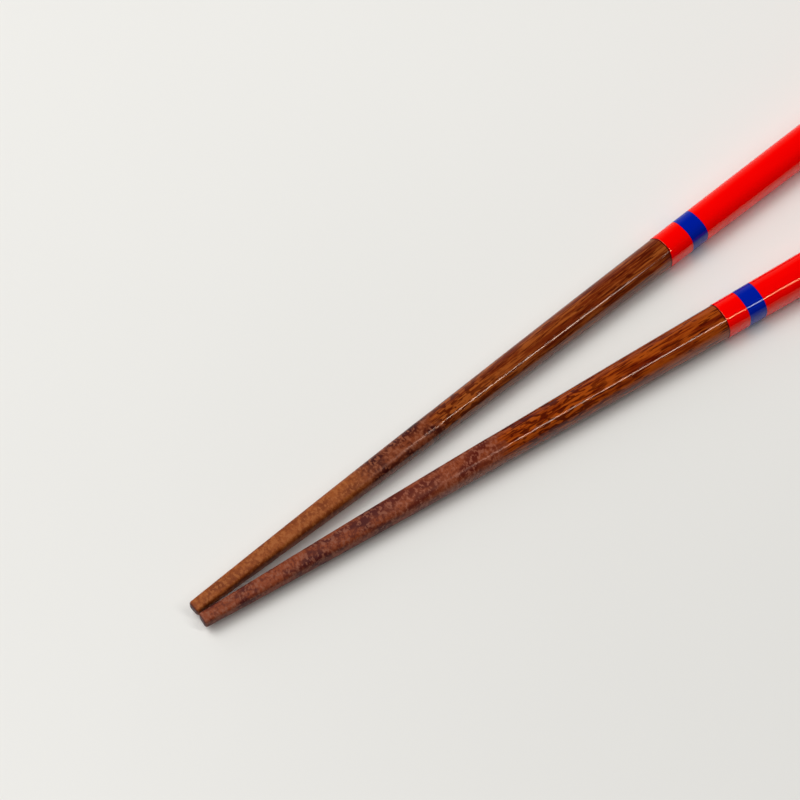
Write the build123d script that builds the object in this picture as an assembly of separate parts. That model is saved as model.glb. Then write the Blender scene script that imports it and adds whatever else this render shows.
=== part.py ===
from build123d import *
from math import atan, degrees
import os

# A pair of tapered wooden chopsticks with lacquered handles, lying on a table with the
# tips together. Lengths run along a stick from its tip. X points from the tips to the
# butts, Y to the left stick's side and Z up. All sizes are in millimetres.

# The bare wooden stick
stick_length = 230.0
tip_width = 2.4
left_butt_width = 6.8
right_butt_width = 7.3
# How soon the stick swells from its tip: 1 is a straight taper, and more is fuller
swell = 2.7
# How far in from the corner each rim is eased
tip_rim = 0.3
butt_rim = 1.2

# The soft square section. Each side curves about a centre that keeps this distance from
# the stick's axis, and the corner radius stays this much smaller than the half width.
side_centre_offset = 2.75
corner_inset = 0.75

# The lacquer over the handle, and the painted band that lies flush in it
bare_wood_length = 110.0
lacquer_thickness = 0.1
left_collar_length = 5.1
right_collar_length = 4.5
band_length = 3.7
band_depth = 0.05

# The gritty non-slip coat over the tip
grit_thickness = 0.05
left_grit_length = 56.0
right_grit_length = 63.0

# How the pair lies. Each stick touches the table below its balance point.
spread_angle = 7.8
tip_gap = 0.25
rest_distance = 140.0

# The curve of the taper is drawn in straight steps: even ones under the tip coat, then
# ones that end at these distances and at both ends of the band
coat_steps = 7
later_stations = [85, bare_wood_length, rest_distance, 170, 200, stick_length]


def half_width(butt_width, distance):
    """Half the width of the bare stick at a distance from its tip."""
    growth = 1 - (1 - distance / stick_length) ** swell
    return (tip_width + (butt_width - tip_width) * growth) / 2


def underside_slope(butt_width, distance):
    """Growth of the half width for each millimetre of length."""
    full_growth = (butt_width - tip_width) / 2 * swell / stick_length
    return full_growth * (1 - distance / stick_length) ** (swell - 1)


def soft_square(half):
    """Section with four crowned sides that run smoothly into four round corners."""
    offset = side_centre_offset
    side_centres = [(offset, 0), (-offset, 0), (0, offset), (0, -offset)]
    discs = [Pos(x, y) * Circle(half + offset) for x, y in side_centres]
    outline = discs[0] & discs[1] & discs[2] & discs[3]
    return fillet(outline.vertices(), half - corner_inset)


def stick_form(butt_width, stations, grown=0.0, ease_butt=chamfer):
    """Solid through the stations, with every face moved out by grown and the rims eased."""
    sections = []
    for distance in stations:
        place = distance
        if distance == 0:
            place = -grown
        if distance == stick_length:
            place = stick_length + grown
        plane = Plane(origin=(place, 0, 0), x_dir=(0, 1, 0), z_dir=(1, 0, 0))
        sections.append(plane * soft_square(half_width(butt_width, distance) + grown))
    form = loft(sections, ruled=True)
    if stations[0] == 0:
        tip = form.faces().sort_by(Axis.X)[0]
        form = chamfer(tip.edges(), tip_rim + grown)
    if stations[-1] == stick_length:
        butt = form.faces().sort_by(Axis.X)[-1]
        form = ease_butt(butt.edges(), butt_rim + grown)
    return form


def build_stick(butt_width, collar_length, grit_length):
    """The wood, handle lacquer, band and tip coat of one stick that lies along X."""
    band_start = bare_wood_length + collar_length
    band_end = band_start + band_length
    coat_stations = [grit_length * step / coat_steps for step in range(coat_steps + 1)]
    stations = sorted(coat_stations + later_stations + [band_start, band_end])

    def form(start, end, **growth):
        within = [distance for distance in stations if start <= distance <= end]
        return stick_form(butt_width, within, **growth)

    wood = form(0, stick_length)
    tip_coat = form(0, grit_length, grown=grit_thickness) - wood

    band_floor = form(band_start, band_end, grown=lacquer_thickness - band_depth)
    band = form(band_start, band_end, grown=lacquer_thickness) - band_floor
    # The wood's butt is chamfered, and the lacquer gathers round it into a soft rim
    lacquered = form(bare_wood_length, stick_length, grown=lacquer_thickness, ease_butt=fillet)
    handle = lacquered - wood - band

    return {"stick": wood, "handle_lacquer": handle, "band": band, "tip_coat": tip_coat}


def lay_down(pieces, butt_width, side):
    """Tilt one stick's pieces to rest at its rest distance, and turn them to their side."""
    tilt = degrees(atan(underside_slope(butt_width, rest_distance)))
    beside = side * (tip_width / 2 + grit_thickness + tip_gap / 2)
    turned = {
        name: Pos(0, beside, 0) * Rot(0, 0, side * spread_angle / 2) * Rot(0, -tilt, 0) * piece
        for name, piece in pieces.items()
    }
    lowest = min(piece.bounding_box().min.Z for piece in turned.values())
    return {name: Pos(0, 0, -lowest) * piece for name, piece in turned.items()}


left = lay_down(
    build_stick(left_butt_width, left_collar_length, left_grit_length), left_butt_width, 1
)
right = lay_down(
    build_stick(right_butt_width, right_collar_length, right_grit_length), right_butt_width, -1
)
nodes = {f"left_{name}": piece for name, piece in left.items()}
nodes |= {f"right_{name}": piece for name, piece in right.items()}

# The origin is on the table, under the middle of the pair
whole = Compound(list(nodes.values())).bounding_box()
to_origin = Pos(-whole.center().X, -whole.center().Y, -whole.min.Z)

os.makedirs("parts", exist_ok=True)
for name, piece in nodes.items():
    placed = to_origin * piece
    placed.label = name
    export_step(placed, f"parts/{name}.step")
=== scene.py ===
"""A pair of wooden chopsticks with red lacquered handles, lying on a pale table."""

import logging
import math
from collections.abc import Callable
from dataclasses import dataclass, field
from enum import Enum

import bmesh
import bpy
from mathutils import Matrix, Vector


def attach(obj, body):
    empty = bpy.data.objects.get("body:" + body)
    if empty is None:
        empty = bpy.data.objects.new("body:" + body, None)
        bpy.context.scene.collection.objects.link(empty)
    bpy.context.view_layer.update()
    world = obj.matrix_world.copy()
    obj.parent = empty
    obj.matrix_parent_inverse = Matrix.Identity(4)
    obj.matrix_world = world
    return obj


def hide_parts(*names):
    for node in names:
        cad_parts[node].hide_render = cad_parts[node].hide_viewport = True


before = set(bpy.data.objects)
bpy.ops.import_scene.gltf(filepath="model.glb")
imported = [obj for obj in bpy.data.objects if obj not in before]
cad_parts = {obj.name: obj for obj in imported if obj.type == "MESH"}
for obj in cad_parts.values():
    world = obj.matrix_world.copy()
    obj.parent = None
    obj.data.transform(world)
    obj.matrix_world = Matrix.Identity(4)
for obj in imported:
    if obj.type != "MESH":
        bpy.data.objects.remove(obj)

LOG = logging.getLogger("chopsticks")
MM = 0.001
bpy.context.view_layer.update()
# Name of the mesh layer that marks where a finish paints its dark edge shade
EDGE_SHADE = "edge"

Triple = tuple[float, float, float]
Colour = Triple
Span = tuple[float, float]
Ring = list[bmesh.types.BMEdge]
Socket = bpy.types.NodeSocket


class Side(Enum):
    """Which of the two sticks, seen from the tips towards the butts."""

    LEFT = "left"
    RIGHT = "right"


class Slot(Enum):
    """The record's material slots."""

    WOOD = "clear_lacquered_wood"
    RED = "red_lacquer"
    BLUE = "blue_lacquer"
    GRIT = "gritty_tip_coat"


@dataclass(frozen=True)
class Place:
    """Where a stick lies: its tip in millimetres, its turn and its rise in degrees."""

    tip: Triple
    turn: float
    rise: float

    def angles(self) -> Triple:
        """Return the stick's turn as Euler angles in radians."""
        return (0.0, -math.radians(self.rise), math.radians(self.turn))

    def matrix(self) -> Matrix:
        """Work out the transform that lays the stick down.

        Returns:
            The transform from stick millimetres to the shared frame in metres.
        """
        _, rise, turn = self.angles()
        return (
            Matrix.Translation(Vector(self.tip) * MM)
            @ Matrix.Rotation(turn, 4, "Z")
            @ Matrix.Rotation(rise, 4, "Y")
            @ Matrix.Scale(MM, 4)
        )


@dataclass(frozen=True)
class SoftSquare:
    """Section with four crowned sides that run smoothly into four round corners.

    A wider section is a narrower one moved outwards, so the centres that its sides and
    corners curve about never move.
    """

    side_centre: float = 2.75
    corner_inset: float = 0.75
    segments: int = 96

    def corner_centre(self) -> float:
        """Return how far each corner's centre is from the axis, across and up alike."""
        reach = self.side_centre + self.corner_inset
        return (math.sqrt(2 * reach**2 - self.side_centre**2) - self.side_centre) / 2

    def offset(self, normal: Vector) -> Vector:
        """Return what moves a point of a plain circle onto the soft square.

        Args:
            normal: Unit vector from the middle of the circle to the point.

        Returns:
            The move, which is the same whatever the circle's radius.
        """
        corner = self.corner_centre()
        side_reach = math.atan2(corner, corner + self.side_centre)
        angle = math.atan2(normal.y, normal.x)
        quarter = round(angle / (math.pi / 2)) * (math.pi / 2)
        if abs(angle - quarter) <= side_reach:
            towards = Vector((math.cos(quarter), math.sin(quarter), 0.0))
            return (normal - towards) * self.side_centre
        across = math.copysign(corner, normal.x)
        up = math.copysign(corner, normal.y)
        return Vector((across, up, 0.0)) - normal * self.corner_inset

    def ring(
        self, bm: bmesh.types.BMesh, distance: float, half: float,
        wander: Callable[[float], float] | None = None, edge: float = 0.0,
    ) -> Ring:
        """Add one ring of the section across the stick.

        Args:
            bm: The mesh being made, in stick millimetres.
            distance: How far the ring is from the tip.
            half: Half the width of the section there.
            wander: How far each point strays along the stick, by its angle.
            edge: How much of the finish's painted edge shade the ring takes, from 0 to 1.

        Returns:
            The ring's edges.
        """
        made = bmesh.ops.create_circle(bm, segments=self.segments, radius=half)["verts"]
        mark = bm.verts.layers.float[EDGE_SHADE]
        for vert in made:
            normal = vert.co.normalized()
            vert.co += self.offset(normal)
            vert[mark] = edge
            if wander:
                vert.co.z += wander(math.atan2(normal.y, normal.x))
        upright = Matrix(((0, 0, 1), (1, 0, 0), (0, 1, 0))).to_4x4()
        bmesh.ops.transform(
            bm, matrix=Matrix.Translation((distance, 0, 0)) @ upright, verts=made
        )
        return list({link for vert in made for link in vert.link_edges})


def new_form() -> bmesh.types.BMesh:
    """Start a mesh whose points can be marked for a finish's painted edge shade.

    Returns:
        The empty mesh.
    """
    bm = bmesh.new()
    bm.verts.layers.float.new(EDGE_SHADE)
    return bm


def skin(bm: bmesh.types.BMesh, rings: list[Ring]) -> None:
    """Join each ring to the next one with a band of faces."""
    for first, second in zip(rings, rings[1:]):
        bmesh.ops.bridge_loops(bm, edges=first + second)


def close_end(bm: bmesh.types.BMesh, ring: Ring, border: float = 0.1) -> None:
    """Close a ring with a flat face that has a narrow border inside its rim.

    Args:
        bm: The mesh being made.
        ring: The ring to close.
        border: The border's width.
    """
    face = bmesh.ops.contextual_create(bm, geom=ring)["faces"]
    bmesh.ops.inset_region(bm, faces=face, thickness=border, use_even_offset=True)


def steps(start: float, end: float, count: int) -> list[float]:
    """Return evenly spaced values from start to end, both included."""
    return [start + (end - start) * index / count for index in range(count + 1)]


def quarter_turn(count: int) -> list[float]:
    """Return evenly spaced angles from 0 to a quarter turn, both included."""
    return steps(0.0, math.pi / 2, count)


@dataclass(frozen=True)
class Pattern:
    """A noise laid over a stick or the table.

    Its patches have the given sizes in millimetres along, across and up. Its shift is
    added to the seed, so that no two patterns of one finish are alike. Detail is how many
    finer layers it has, and rough is how strong they are.
    """

    sizes: Triple
    shift: float
    detail: float = 2.0
    rough: float = 0.5


class Sheet:
    """Short ways to add and join the nodes of one material."""

    # How far one step of the seed moves a noise along, across and up
    SEED_SPREAD: Triple = (1.0, 0.7, 1.3)
    # The Mix node has sockets for each kind of data, and these are the ones for colours
    MIX_UNDER: int = 6
    MIX_OVER: int = 7
    MIX_RESULT: int = 2

    def __init__(self, name: str) -> None:
        """Start a material whose only node is its output.

        Args:
            name: The material's name.
        """
        self.material = bpy.data.materials.new(name)
        self.material.use_nodes = True
        self.tree = self.material.node_tree
        self.tree.nodes.clear()
        self.output = self.tree.nodes.new("ShaderNodeOutputMaterial")

    def add(self, kind: str, **settings: object) -> bpy.types.Node:
        """Add a node.

        Args:
            kind: The node's type.
            settings: Its plain properties and their values.

        Returns:
            The node.
        """
        node = self.tree.nodes.new(kind)
        for name, value in settings.items():
            setattr(node, name, value)
        return node

    def feed(self, socket: Socket, value: object) -> None:
        """Join another node's output to a socket, or set the socket to a value.

        Args:
            socket: The input socket.
            value: The output to join to it, or its plain value.
        """
        if isinstance(value, bpy.types.NodeSocket):
            self.tree.links.new(value, socket)
        else:
            socket.default_value = value

    def stick_space(self, place: Place) -> Socket:
        """Add the coordinates of one stick.

        Args:
            place: Where the stick lies.

        Returns:
            Millimetres along, across and up the stick.
        """
        mapping = self.add("ShaderNodeMapping", vector_type="TEXTURE")
        self.feed(mapping.inputs["Vector"], self.add("ShaderNodeTexCoord").outputs["Object"])
        mapping.inputs["Location"].default_value = Vector(place.tip) * MM
        mapping.inputs["Rotation"].default_value = place.angles()
        mapping.inputs["Scale"].default_value = (MM, MM, MM)
        return mapping.outputs["Vector"]

    def along(self, vector: Socket) -> Socket:
        """Take the distance from the tip out of stick coordinates.

        Args:
            vector: Stick coordinates.

        Returns:
            The distance.
        """
        node = self.add("ShaderNodeSeparateXYZ")
        self.feed(node.inputs[0], vector)
        return node.outputs["X"]

    def edge(self) -> Socket:
        """Return how much each point is marked for the finish's painted edge shade."""
        return self.add("ShaderNodeAttribute", attribute_name=EDGE_SHADE).outputs["Fac"]

    def noise(self, vector: Socket, pattern: Pattern, seed: float) -> Socket:
        """Return a pattern's noise.

        Args:
            vector: Stick coordinates.
            pattern: The pattern.
            seed: The seed that the pattern's shift is added to.

        Returns:
            The noise, from 0 to 1 and mostly near 0.5.
        """
        start = seed + pattern.shift
        mapping = self.add("ShaderNodeMapping", vector_type="POINT")
        self.feed(mapping.inputs["Vector"], vector)
        mapping.inputs["Location"].default_value = [start * part for part in self.SEED_SPREAD]
        mapping.inputs["Scale"].default_value = [1 / size for size in pattern.sizes]
        node = self.add("ShaderNodeTexNoise")
        self.feed(node.inputs["Vector"], mapping.outputs["Vector"])
        node.inputs["Scale"].default_value = 1.0
        node.inputs["Detail"].default_value = pattern.detail
        node.inputs["Roughness"].default_value = pattern.rough
        return node.outputs["Fac"]

    def fade(self, value: Socket, start: float, end: float) -> Socket:
        """Run smoothly from 0 to 1 as a value passes from start to end.

        Args:
            value: The value.
            start: Where the fade is 0.
            end: Where it is 1, which may be the lower of the two.

        Returns:
            The fade.
        """
        node = self.add("ShaderNodeMapRange", interpolation_type="SMOOTHSTEP")
        self.feed(node.inputs["Value"], value)
        node.inputs["From Min"].default_value = start
        node.inputs["From Max"].default_value = end
        return node.outputs["Result"]

    def work_out(self, operation: str, first: object, second: object) -> Socket:
        """Put two values through a Math node.

        Args:
            operation: What the node does, by Blender's name.
            first: The first value.
            second: The second value.

        Returns:
            The result.
        """
        node = self.add("ShaderNodeMath", operation=operation)
        self.feed(node.inputs[0], first)
        self.feed(node.inputs[1], second)
        return node.outputs[0]

    def plus(self, first: object, second: object) -> Socket:
        """Return the sum of the two values."""
        return self.work_out("ADD", first, second)

    def times(self, first: object, second: object) -> Socket:
        """Return the product of the two values."""
        return self.work_out("MULTIPLY", first, second)

    def blend(self, factor: object, under: object, over: object) -> Socket:
        """Lay one colour over another.

        Args:
            factor: How much of the over colour covers the under colour, from 0 to 1.
            under: The colour below.
            over: The colour laid on it.

        Returns:
            The blended colour.
        """
        node = self.add("ShaderNodeMix", data_type="RGBA")
        self.feed(node.inputs["Factor"], factor)
        for index, value in ((self.MIX_UNDER, under), (self.MIX_OVER, over)):
            full = (*value, 1.0) if isinstance(value, tuple) else value
            self.feed(node.inputs[index], full)
        return node.outputs[self.MIX_RESULT]

    def bump(self, height: Socket, depth: float) -> Socket:
        """Bump the surface by a height.

        Args:
            height: The height, from 0 to 1.
            depth: How deep its full span is, in millimetres.

        Returns:
            The bumped normal.
        """
        node = self.add("ShaderNodeBump")
        node.inputs["Strength"].default_value = 1.0
        node.inputs["Distance"].default_value = depth * MM
        self.feed(node.inputs["Height"], height)
        return node.outputs["Normal"]

    def surface(self, **inputs: object) -> bpy.types.Material:
        """Close the material with a Principled surface.

        Args:
            inputs: Socket names, with underscores for blanks, and their values.

        Returns:
            The finished material.
        """
        shader = self.add("ShaderNodeBsdfPrincipled")
        for name, value in inputs.items():
            self.feed(shader.inputs[name.replace("_", " ")], value)
        self.tree.links.new(shader.outputs[0], self.output.inputs["Surface"])
        return self.material


@dataclass(frozen=True)
class Figure:
    """The figure of one stick's wood.

    Broad and fine streaks mix the deep and the light ground colour. Dashes are the open
    pores. Flecks are shorter pores, which only one stretch of the stick has. Each span is
    where a pattern starts to show and where it shows in full.
    """

    light: Colour
    deep: Colour
    pore: Colour
    seed: float
    fleck_start: float
    fleck_end: float
    broad: Pattern = Pattern((24.0, 1.6, 1.6), shift=41.0)
    broad_share: float = 0.4
    streaks: Pattern = Pattern((8.0, 0.5, 0.5), shift=0.0, detail=4.0, rough=0.7)
    light_span: Span = (0.60, 0.80)
    dashes: Pattern = Pattern((4.0, 0.32, 0.32), shift=11.0, rough=0.6)
    dash_span: Span = (0.54, 0.61)
    flecks: Pattern = Pattern((1.5, 0.62, 0.62), shift=23.0, detail=0.5)
    fleck_span: Span = (0.51, 0.57)
    fleck_rise: float = 4.0
    fleck_fall: float = 6.0
    fleck_tail: float = 12.0
    fleck_light: float = 0.04
    pore_shade: float = 0.85

    def flecked(self, sheet: Sheet, space: Socket) -> Socket:
        """Mark out the stretch that has flecks.

        Args:
            sheet: The material it is for.
            space: Stick coordinates.

        Returns:
            How much each point is in the stretch, from 0 to 1.
        """
        distance = sheet.along(space)
        start, end = self.fleck_start, self.fleck_end
        return sheet.times(
            sheet.fade(distance, start - self.fleck_rise, start + self.fleck_rise),
            sheet.fade(distance, end + self.fleck_tail, end - self.fleck_fall),
        )

    def colour(self, sheet: Sheet, space: Socket) -> tuple[Socket, Socket]:
        """Lay the figure out along a stick.

        Args:
            sheet: The material it is for.
            space: Stick coordinates.

        Returns:
            The colour, and how much of each point is an open pore.
        """
        broad = sheet.noise(space, self.broad, self.seed)
        streaks = sheet.noise(space, self.streaks, self.seed)
        mixed = sheet.plus(streaks, sheet.times(broad, self.broad_share))
        marks = sheet.fade(sheet.noise(space, self.dashes, self.seed), *self.dash_span)
        spots = sheet.fade(sheet.noise(space, self.flecks, self.seed), *self.fleck_span)
        inside = self.flecked(sheet, space)
        plain = sheet.plus(mixed, sheet.times(inside, self.fleck_light))
        ground = sheet.blend(sheet.fade(plain, *self.light_span), self.deep, self.light)
        pores = sheet.work_out("MAXIMUM", marks, sheet.times(spots, inside))
        return sheet.blend(sheet.times(pores, self.pore_shade), ground, self.pore), pores


@dataclass(frozen=True)
class VarnishedWood:
    """Bare wood under a thin clear gloss that dips over the open pores."""

    figure: Figure
    sheen: Colour = (1.0, 0.82, 0.68)
    gloss: float = 0.05
    index: float = 1.36
    ripple: Pattern = Pattern((0.9, 0.6, 0.6), shift=5.0, detail=3.0, rough=0.6)
    pore_dip: float = 0.4
    relief: float = 0.007

    def material(self, name: str, place: Place) -> bpy.types.Material:
        """Make the finish for one stick.

        Args:
            name: The material's name.
            place: Where the stick lies.

        Returns:
            The material.
        """
        sheet = Sheet(name)
        space = sheet.stick_space(place)
        colour, pores = self.figure.colour(sheet, space)
        ripple = sheet.noise(space, self.ripple, self.figure.seed)
        height = sheet.work_out("SUBTRACT", ripple, sheet.times(pores, self.pore_dip))
        return sheet.surface(
            Base_Color=colour, Roughness=self.gloss, IOR=self.index,
            Specular_Tint=(*self.sheen, 1.0), Normal=sheet.bump(height, self.relief),
        )


@dataclass(frozen=True)
class Mottle:
    """Three tones of the tip coat: its ground, its dark patches and its pale grains."""

    ground: Colour
    patch: Colour
    grain: Colour


@dataclass(frozen=True)
class GrittyCoat:
    """Matt, finely stippled non-slip coat over the tip, which frays out at its end and has
    painted shade on its rounded tip end.

    Its tones pass from the tip's to the shank's around the change, a distance from the
    tip. Each span is where something starts to show and where it shows in full. The fray
    and thin spans are distances from the coat's end.
    """

    figure: Figure
    tip: Mottle
    shank: Mottle
    end: float
    change: float = 38.0
    change_reach: float = 4.0
    # Colour of the painted shade on the tip's rounded end
    rim: Colour = (0.05, 0.008, 0.01)
    sheen: Colour = (1.0, 0.72, 0.58)
    sheen_level: float = 0.22
    matt: float = 0.5
    gloss: float = 0.1
    grains: Pattern = Pattern((0.6, 0.8, 0.8), shift=31.0, rough=0.6)
    pale_span: Span = (0.50, 0.62)
    pale_share: float = 0.75
    dark_span: Span = (0.47, 0.36)
    dark_share: float = 0.6
    clouds: Pattern = Pattern((4.4, 2.2, 2.2), shift=37.0)
    cloud_span: Span = (0.34, 0.59)
    fray_depth: float = 8.0
    fray_span: Span = (5.5, 1.5)
    thin_span: Span = (4.0, -30.0)
    relief: float = 0.03

    def mottled(self, sheet: Sheet, tones: Mottle, clouds: Socket, grains: Socket) -> Socket:
        """Return the coat's colour in three tones.

        Args:
            sheet: The material it is for.
            tones: The three tones.
            clouds: Noise that places the dark patches.
            grains: Noise that places the pale grains.

        Returns:
            The colour.
        """
        patched = sheet.blend(sheet.fade(clouds, *self.cloud_span), tones.patch, tones.ground)
        pale = sheet.times(sheet.fade(grains, *self.pale_span), self.pale_share)
        dark = sheet.times(sheet.fade(grains, *self.dark_span), self.dark_share)
        return sheet.blend(dark, sheet.blend(pale, patched, tones.grain), tones.patch)

    def from_end(self, sheet: Sheet, distance: Socket, span: Span) -> Socket:
        """Return a fade whose span is measured from the coat's end."""
        start, full = span
        return sheet.fade(distance, self.end + start, self.end + full)

    def material(self, name: str, place: Place) -> bpy.types.Material:
        """Make the finish for one stick.

        Args:
            name: The material's name.
            place: Where the stick lies.

        Returns:
            The material.
        """
        sheet = Sheet(name)
        space = sheet.stick_space(place)
        distance = sheet.along(space)
        wood, _ = self.figure.colour(sheet, space)
        grains = sheet.noise(space, self.grains, self.figure.seed)
        clouds = sheet.noise(space, self.clouds, self.figure.seed)
        reach = self.change_reach
        coat = sheet.blend(
            sheet.fade(distance, self.change - reach, self.change + reach),
            self.mottled(sheet, self.tip, clouds, grains),
            self.mottled(sheet, self.shank, clouds, grains),
        )
        ragged = sheet.plus(distance, sheet.times(clouds, self.fray_depth))
        cover = self.from_end(sheet, ragged, self.fray_span)
        # The coat over the wood, darkened by painted shade where the tip's end is marked
        coat_and_end_shade = sheet.blend(sheet.edge(), sheet.blend(cover, wood, coat), self.rim)
        thick = self.from_end(sheet, distance, self.thin_span)
        dullness = sheet.times(thick, self.matt - self.gloss)
        return sheet.surface(
            Base_Color=coat_and_end_shade, Roughness=sheet.plus(dullness, self.gloss),
            Specular_IOR_Level=self.sheen_level, Specular_Tint=(*self.sheen, 1.0),
            Normal=sheet.bump(sheet.times(grains, cover), self.relief),
        )


@dataclass(frozen=True)
class Paint:
    """The tones of a lacquer: its body, where it lies thin, the painted shade at its edges and
    its sheen.
    """

    body: Colour
    thin: Colour
    rim: Colour
    sheen: Colour


# Red's dark edge colour is painted shade at the lacquer's front foot
RED_PAINT = Paint(
    body=(0.93, 0.0002, 0.0001), thin=(0.96, 0.001, 0.0003), rim=(0.09, 0.003, 0.002),
    sheen=(1.0, 0.86, 0.45),
)
# Blue's dark edge colour is painted shade at the band's two ends
BLUE_PAINT = Paint(
    body=(0.0003, 0.012, 0.33), thin=(0.0006, 0.015, 0.38), rim=(0.012, 0.0006, 0.025),
    sheen=(0.72, 0.86, 1.0),
)


@dataclass(frozen=True)
class Lacquer:
    """Thick opaque gloss lacquer, a little uneven in tone and level."""

    paint: Paint
    seed: float
    gloss: float = 0.05
    index: float = 1.38
    tone: Pattern = Pattern((9.0, 1.8, 1.8), shift=0.0, detail=3.0)
    thin_span: Span = (0.45, 0.7)
    thin_share: float = 0.5
    level: Pattern = Pattern((5.0, 2.2, 2.2), shift=7.0, detail=1.0, rough=0.4)
    relief: float = 0.004

    def material(self, name: str, place: Place) -> bpy.types.Material:
        """Make the finish for one stick.

        Args:
            name: The material's name.
            place: Where the stick lies.

        Returns:
            The material.
        """
        sheet = Sheet(name)
        space = sheet.stick_space(place)
        tone = sheet.noise(space, self.tone, self.seed)
        level = sheet.noise(space, self.level, self.seed)
        thin = sheet.times(sheet.fade(tone, *self.thin_span), self.thin_share)
        film = sheet.blend(thin, self.paint.body, self.paint.thin)
        # Where the mesh is marked, the film is darkened with painted edge shade
        return sheet.surface(
            Base_Color=sheet.blend(sheet.edge(), film, self.paint.rim),
            Roughness=self.gloss, IOR=self.index,
            Specular_Tint=(*self.paint.sheen, 1.0), Normal=sheet.bump(level, self.relief),
        )


@dataclass
class Chopstick:
    """One stick: the wood, the lacquer over its handle, its band and its tip coat.

    Sizes are in millimetres. Steps and turns say how finely each stretch of a mesh is
    cut. A lip wave is its number of crests round the stick, its height and the angle of
    a crest in degrees. Faces that meet at more than the crease, in degrees, keep a sharp
    line.
    """

    side: Side
    place: Place
    figure: Figure
    butt_width: float
    collar_length: float
    grit_length: float
    bare_length: float
    tip_tones: Mottle
    shank_tones: Mottle
    lip_waves: tuple[tuple[int, float, float], ...]
    length: float = 230.0
    tip_width: float = 2.4
    swell: float = 2.7
    tip_rim: float = 0.4
    butt_rim: float = 1.2
    lacquer: float = 0.093
    # How far in front of the lacquer's foot its dark ring of painted shade lies over the wood
    lip_shade_reach: float = 0.2
    lip_foot: float = 0.006
    lip_setback: float = 0.5
    lip_lining: float = 0.3
    band_length: float = 3.7
    band_depth: float = 0.05
    # Width of the painted shade at each end of the band
    band_shade_width: float = 0.12
    groove_rim: float = 0.05
    grit: float = 0.048
    grit_end: float = 0.004
    grit_taper: float = 4.0
    rim_gap: float = 1.0
    wood_steps: int = 150
    grit_steps: int = 50
    grit_lining_steps: int = 24
    collar_steps: int = 6
    band_steps: int = 8
    handle_steps: int = 70
    handle_lining_steps: int = 30
    tip_turns: int = 5
    lip_turns: int = 5
    butt_turns: int = 8
    band_seed: float = 3.0
    crease: float = 50.0
    section: SoftSquare = field(default_factory=SoftSquare)

    def half(self, distance: float) -> float:
        """Return half the width of the bare wood at a distance from the tip."""
        growth = 1 - (1 - distance / self.length) ** self.swell
        return (self.tip_width + (self.butt_width - self.tip_width) * growth) / 2

    def rings(self, bm: bmesh.types.BMesh, stations: list[float], grown: float) -> list[Ring]:
        """Add a ring at each station, on the wood or this far out from it."""
        return [self.section.ring(bm, at, self.half(at) + grown) for at in stations]

    def tip_rings(self, bm: bmesh.types.BMesh, grown: float) -> list[Ring]:
        """Add the rings that ease the tip's rim, from the flat end outwards.

        Args:
            bm: The mesh being made.
            grown: How far the form stands out from the wood.

        Returns:
            The rings.
        """
        reach = self.tip_rim + grown
        full = self.half(0) + grown
        return [
            self.section.ring(
                bm,
                -grown + reach * (1 - math.sin(turn)),
                full - reach * (1 - math.cos(turn)),
                # How much painted edge shade each ring takes, most at the flat end
                edge=math.sin(turn) ** 2,
            )
            for turn in reversed(quarter_turn(self.tip_turns))
        ]

    def butt_rings(self, bm: bmesh.types.BMesh, grown: float) -> list[Ring]:
        """Add the rings that round the butt's rim, from the side to the flat end.

        Args:
            bm: The mesh being made.
            grown: How far the form stands out from the wood.

        Returns:
            The rings.
        """
        reach = self.butt_rim + grown
        full = self.half(self.length) + grown
        return [
            self.section.ring(
                bm,
                self.length + grown - reach * (1 - math.sin(turn)),
                full - reach * (1 - math.cos(turn)),
            )
            for turn in quarter_turn(self.butt_turns)
        ]

    def last_station(self) -> float:
        """Return where the last straight stretch ends, just short of the butt's rim."""
        return self.length - self.butt_rim - self.rim_gap

    def piece(
        self, bm: bmesh.types.BMesh, name: str, material: bpy.types.Material
    ) -> bpy.types.Object:
        """Turn a mesh in stick millimetres into a piece that stands for its CAD node.

        Args:
            bm: The mesh, which is used up.
            name: The piece's own word, such as band.
            material: Its finish.

        Returns:
            The piece, with its place in its mesh.
        """
        label = f"{self.side.value}_{name}"
        bmesh.ops.recalc_face_normals(bm, faces=bm.faces)
        bmesh.ops.transform(bm, matrix=self.place.matrix(), verts=bm.verts)
        mesh = bpy.data.meshes.new(f"{label}_form")
        bm.to_mesh(mesh)
        bm.free()
        mesh.polygons.foreach_set("use_smooth", [True] * len(mesh.polygons))
        mesh.set_sharp_from_angle(angle=math.radians(self.crease))
        mesh.materials.append(material)
        made = bpy.data.objects.new(f"{label}_surface", mesh)
        bpy.context.scene.collection.objects.link(made)
        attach(made, "root")
        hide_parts(label)
        LOG.info("%s: %d faces", made.name, len(mesh.polygons))
        return made

    def build_wood(self) -> bpy.types.Object:
        """Make the whole wooden stick.

        Returns:
            The piece.
        """
        bm = new_form()
        rings = self.tip_rings(bm, 0.0)
        rings += self.rings(bm, steps(self.rim_gap, self.last_station(), self.wood_steps), 0.0)
        rings += self.butt_rings(bm, 0.0)
        skin(bm, rings)
        close_end(bm, rings[0])
        close_end(bm, rings[-1])
        finish = VarnishedWood(self.figure)
        name = f"{self.side.value} varnished wood"
        return self.piece(bm, "stick", finish.material(name, self.place))

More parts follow.
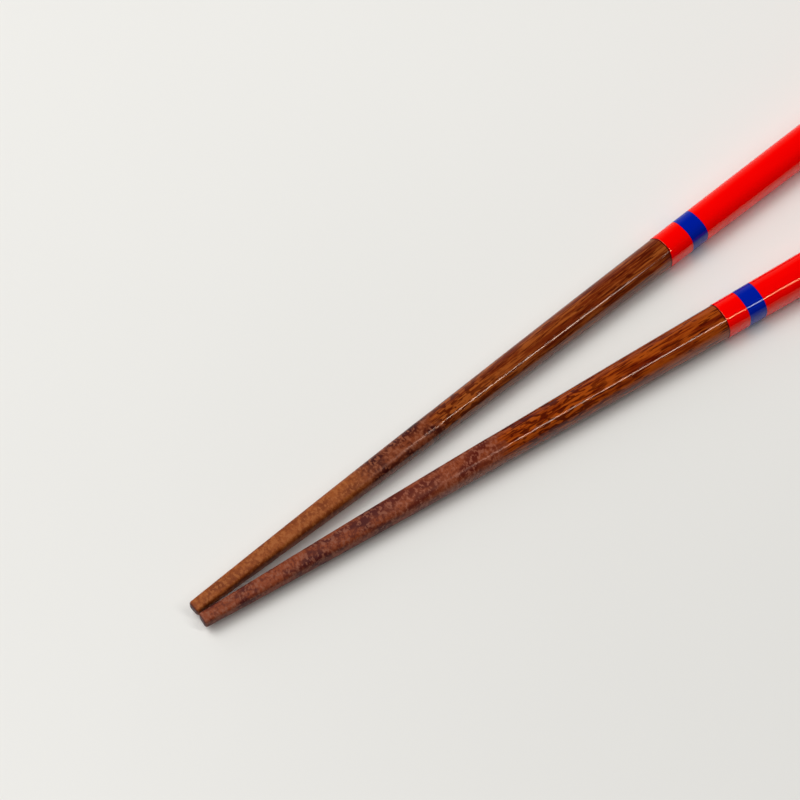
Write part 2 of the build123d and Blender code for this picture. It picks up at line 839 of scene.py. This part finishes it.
    def build_tip_coat(self) -> bpy.types.Object:
        """Make the gritty coat, which thins away almost to nothing at its end.

        Returns:
            The piece.
        """
        bm = new_form()
        full_end = self.grit_length - self.grit_taper
        rings = self.tip_rings(bm, self.grit)
        rings += self.rings(bm, steps(self.rim_gap, full_end, self.grit_steps), self.grit)
        rings += self.rings(bm, [self.grit_length], self.grit_end)
        inner = self.tip_rings(bm, 0.0)
        inner += self.rings(
            bm, steps(self.rim_gap, self.grit_length, self.grit_lining_steps), 0.0
        )
        rings += list(reversed(inner))
        skin(bm, rings)
        close_end(bm, rings[0])
        close_end(bm, rings[-1])
        finish = GrittyCoat(self.figure, self.tip_tones, self.shank_tones, self.grit_length)
        name = f"{self.side.value} gritty coat"
        return self.piece(bm, "tip_coat", finish.material(name, self.place))

    def band_ends(self) -> tuple[float, float]:
        """Return where the band starts and ends."""
        start = self.bare_length + self.collar_length
        return start, start + self.band_length

    def stray(self, angle: float) -> float:
        """Return how far the lacquer's front edge strays along the stick at an angle."""
        return sum(
            reach * math.cos(count * (angle - math.radians(peak)))
            for count, reach, peak in self.lip_waves
        )

    def lip_rings(self, bm: bmesh.types.BMesh) -> list[Ring]:
        """Add the rings of the lacquer's front edge, from a dark ring of painted shade just in
        front of it up its soft lip, whose foot also takes painted shade.

        Args:
            bm: The mesh being made.

        Returns:
            The rings.
        """
        foot = self.half(self.bare_length) + self.lip_foot
        # A dark ring of painted shade just off the wood in front of the lip; the lip's foot
        # fades out of it
        shade_ring = self.section.ring(
            bm, self.bare_length - self.lip_shade_reach, foot, self.stray, edge=1.0
        )
        return [shade_ring] + [
            self.section.ring(
                bm,
                self.bare_length + self.lacquer * (1 - math.cos(turn)),
                foot + (self.lacquer - self.lip_foot) * math.sin(turn),
                self.stray,
                edge=math.cos(turn),
            )
            for turn in quarter_turn(self.lip_turns)
        ]

    def handle_lining(self, bm: bmesh.types.BMesh) -> list[Ring]:
        """Add the rings of the lacquer's inner side, from its front to the butt's end.

        Args:
            bm: The mesh being made.

        Returns:
            The rings.
        """
        stations = steps(
            self.bare_length + self.lip_lining,
            self.length - self.butt_rim,
            self.handle_lining_steps,
        )
        lining = self.rings(bm, stations, 0.0)
        end = self.section.ring(bm, self.length, self.half(self.length) - self.butt_rim)
        return lining + [end]

    def build_handle(self) -> bpy.types.Object:
        """Make the lacquer, with a soft front lip and a groove for the band.

        Returns:
            The piece.
        """
        bm = new_form()
        start, end = self.band_ends()
        collar = steps(
            self.bare_length + self.lip_setback, start - self.groove_rim, self.collar_steps
        )
        handle = steps(end + self.groove_rim, self.last_station(), self.handle_steps)
        outer = self.lip_rings(bm)
        outer += self.rings(bm, collar + [start], self.lacquer)
        outer += self.rings(bm, [start, end], self.lacquer - self.band_depth)
        outer += self.rings(bm, [end] + handle, self.lacquer)
        outer += self.butt_rings(bm, self.lacquer)
        inner = self.handle_lining(bm)
        skin(bm, list(reversed(inner)) + outer)
        close_end(bm, inner[-1])
        close_end(bm, outer[-1])
        finish = Lacquer(RED_PAINT, self.figure.seed)
        name = f"{self.side.value} red lacquer"
        return self.piece(bm, "handle_lacquer", finish.material(name, self.place))

    def band_shade_ring(self, bm: bmesh.types.BMesh, distance: float) -> Ring:
        """Add a ring of painted shade at the band's end, level with the lacquer."""
        return self.section.ring(bm, distance, self.half(distance) + self.lacquer, edge=1.0)

    def build_band(self) -> bpy.types.Object:
        """Make the blue band, which fills its groove flush and has painted shade at both ends.

        Returns:
            The piece.
        """
        bm = new_form()
        start, end = self.band_ends()
        seat = self.lacquer - self.band_depth
        face = steps(start + self.band_shade_width, end - self.band_shade_width, self.band_steps)
        rings = self.rings(bm, [start], seat)
        rings += [self.band_shade_ring(bm, start)]
        rings += self.rings(bm, face, self.lacquer)
        rings += [self.band_shade_ring(bm, end)]
        rings += self.rings(bm, [end], seat)
        skin(bm, rings + [rings[0]])
        finish = Lacquer(BLUE_PAINT, self.figure.seed + self.band_seed)
        name = f"{self.side.value} blue lacquer"
        return self.piece(bm, "band", finish.material(name, self.place))

    def build(self) -> list[bpy.types.Object]:
        """Make every piece of the stick."""
        return [
            self.build_wood(), self.build_tip_coat(), self.build_handle(), self.build_band()
        ]


@dataclass(frozen=True)
class Lamp:
    """A flat soft lamp: where it hangs, what it faces, its size and its power."""

    name: str
    at: Triple
    facing: Triple
    size: tuple[float, float]
    power: float
    tint: Colour
    turn: float = 0.0

    def build(self) -> bpy.types.Object:
        """Hang the lamp.

        Returns:
            The lamp.
        """
        light = bpy.data.lights.new(self.name, "AREA")
        light.shape = "RECTANGLE"
        light.size, light.size_y = self.size
        light.energy = self.power
        light.color = self.tint
        lamp = bpy.data.objects.new(self.name, light)
        bpy.context.scene.collection.objects.link(lamp)
        aim = Vector(self.facing) - Vector(self.at)
        face = aim.to_track_quat("-Z", "Y").to_matrix().to_4x4()
        lamp.matrix_world = (
            Matrix.Translation(self.at) @ face @ Matrix.Rotation(math.radians(self.turn), 4, "Z")
        )
        return lamp


@dataclass
class Table:
    """The pale table top, with painted shade darkening it a little towards the view's lower
    edge.

    Its size is in metres. Its patches and the fade of its painted shade are in millimetres,
    and its drift is the direction, in degrees, in which the painted shade lifts.
    """

    reach: float = 6.0
    cells: int = 4
    colour: Colour = (0.87, 0.868, 0.84)
    # The table's colour is multiplied by this where the painted shade is full
    dullness: float = 0.89
    drift: float = 53.6
    fade: float = 90.0
    fade_share: float = 0.9
    clouds: Pattern = Pattern((60.0, 45.0, 60.0), shift=3.0)
    cloud_share: float = 0.15
    gloss: float = 0.38
    index: float = 1.45

    def material(self) -> bpy.types.Material:
        """Make the table's finish.

        Returns:
            The material.
        """
        sheet = Sheet("pale table")
        space = sheet.stick_space(Place(tip=(0.0, 0.0, 0.0), turn=self.drift, rise=0.0))
        # Painted shade towards the view's lower edge, plus random darker patches of the table's
        # own tone
        drift = sheet.times(
            sheet.fade(sheet.along(space), self.fade, -self.fade), self.fade_share
        )
        clouds = sheet.times(sheet.noise(space, self.clouds, 0.0), self.cloud_share)
        shaded = tuple(value * self.dullness for value in self.colour)
        colour = sheet.blend(sheet.plus(drift, clouds), self.colour, shaded)
        return sheet.surface(Base_Color=colour, Roughness=self.gloss, IOR=self.index)

    def build(self) -> bpy.types.Object:
        """Lay the table top under the sticks.

        Returns:
            The table top.
        """
        bm = bmesh.new()
        bmesh.ops.create_grid(bm, x_segments=self.cells, y_segments=self.cells, size=self.reach)
        mesh = bpy.data.meshes.new("table_top")
        bm.to_mesh(mesh)
        bm.free()
        mesh.materials.append(self.material())
        table = bpy.data.objects.new("table_top", mesh)
        bpy.context.scene.collection.objects.link(table)
        return table


@dataclass
class Studio:
    """The table, the lamps, the room's own light and the camera.

    The room is dim apart from one side. It brightens over a span of how far a direction
    points towards that side, where 1 is straight at it.
    """

    table: Table = field(default_factory=Table)
    room_colour: Colour = (0.80, 0.81, 0.83)
    room_bright_side: Triple = (-0.7, 0.75, -0.1)
    room_span: Span = (0.1, 0.6)
    room_dim: float = 0.01
    eye: Triple = (-0.21055, -0.1886, 0.4810)
    looks_at: Triple = (-0.06076, 0.01430, 0.0)
    lens: float = 135.0
    sensor: float = 36.0
    nearest: float = 0.01
    lamps: tuple[Lamp, ...] = (
        Lamp(
            name="softbox", at=(-0.33, 0.28, 0.88), facing=(0.0, 0.0, 0.0),
            size=(0.64, 0.64), power=6.9, tint=(1.0, 0.99, 0.97),
        ),
        Lamp(
            name="strip", at=(0.398, -0.555, 1.2), facing=(0.398, -0.555, 0.0),
            size=(1.06, 0.05), power=5.1, tint=(1.0, 0.97, 0.95), turn=-60.0,
        ),
    )

    def build_room(self) -> None:
        """Give the room its soft light, brightest from one side."""
        world = bpy.data.worlds.new("room")
        world.use_nodes = True
        tree = world.node_tree
        back = tree.nodes["Background"]
        back.inputs["Color"].default_value = (*self.room_colour, 1.0)
        towards = tree.nodes.new("ShaderNodeVectorMath")
        towards.operation = "DOT_PRODUCT"
        towards.inputs[1].default_value = Vector(self.room_bright_side).normalized()
        direction = tree.nodes.new("ShaderNodeTexCoord")
        tree.links.new(direction.outputs["Generated"], towards.inputs[0])
        level = tree.nodes.new("ShaderNodeMapRange")
        dim_at, bright_at = self.room_span
        level.inputs["From Min"].default_value = dim_at
        level.inputs["From Max"].default_value = bright_at
        level.inputs["To Min"].default_value = self.room_dim
        level.inputs["To Max"].default_value = 1.0
        tree.links.new(towards.outputs["Value"], level.inputs["Value"])
        tree.links.new(level.outputs["Result"], back.inputs["Strength"])
        bpy.context.scene.world = world

    def build_camera(self) -> bpy.types.Object:
        """Set the camera where the photograph was taken from.

        Returns:
            The camera.
        """
        data = bpy.data.cameras.new("camera")
        data.lens = self.lens
        data.sensor_width = self.sensor
        data.clip_start = self.nearest
        camera = bpy.data.objects.new("camera", data)
        bpy.context.scene.collection.objects.link(camera)
        camera.location = self.eye
        aim = Vector(self.looks_at) - Vector(self.eye)
        camera.rotation_euler = aim.to_track_quat("-Z", "Y").to_euler()
        bpy.context.scene.camera = camera
        return camera

    def build(self) -> None:
        """Set the whole studio up."""
        self.table.build()
        self.build_room()
        for lamp in self.lamps:
            lamp.build()
        self.build_camera()
        bpy.context.scene.view_settings.view_transform = "Standard"


def the_pair() -> list[Chopstick]:
    """Describe the two sticks with their own sizes, places and figures.

    Returns:
        The left stick and the right one.
    """
    left = Chopstick(
        side=Side.LEFT,
        place=Place(tip=(-114.811, 1.49976, 2.59168), turn=3.9, rise=0.30023),
        figure=Figure(
            light=(0.31, 0.073, 0.012), deep=(0.14, 0.018, 0.003),
            pore=(0.065, 0.005, 0.001), seed=4.0, fleck_start=52.0, fleck_end=66.0,
        ),
        butt_width=6.8, collar_length=5.1, grit_length=56.0, bare_length=110.35,
        tip_tones=Mottle((0.27, 0.066, 0.012), (0.16, 0.030, 0.005), (0.34, 0.102, 0.026)),
        shank_tones=Mottle((0.195, 0.042, 0.014), (0.045, 0.005, 0.004), (0.265, 0.082, 0.038)),
        lip_waves=((2, 0.22, 105.0), (3, 0.10, 87.0)),
    )
    right = Chopstick(
        side=Side.RIGHT,
        place=Place(tip=(-114.8109, -1.25037, 2.73856), turn=-3.9, rise=0.33432),
        figure=Figure(
            light=(0.34, 0.060, 0.005), deep=(0.14, 0.012, 0.0015),
            pore=(0.055, 0.002, 0.0006), seed=19.0, fleck_start=62.0, fleck_end=82.0,
        ),
        butt_width=7.3, collar_length=4.5, grit_length=63.0, bare_length=109.7,
        tip_tones=Mottle((0.215, 0.043, 0.014), (0.06, 0.007, 0.007), (0.24, 0.078, 0.044)),
        shank_tones=Mottle((0.225, 0.048, 0.017), (0.095, 0.012, 0.006), (0.29, 0.092, 0.052)),
        lip_waves=((2, 0.04, 105.0), (3, 0.03, 87.0)),
    )
    return [left, right]


def main() -> None:
    """Build the studio and the pair, whose pieces stand in for the CAD model's hidden nodes."""
    logging.basicConfig(level=logging.INFO, format="%(name)s: %(message)s")
    Studio().build()
    for stick in the_pair():
        made = stick.build()
        LOG.info("%s stick: %d pieces", stick.side.value, len(made))


if __name__ == "__main__":
    main()
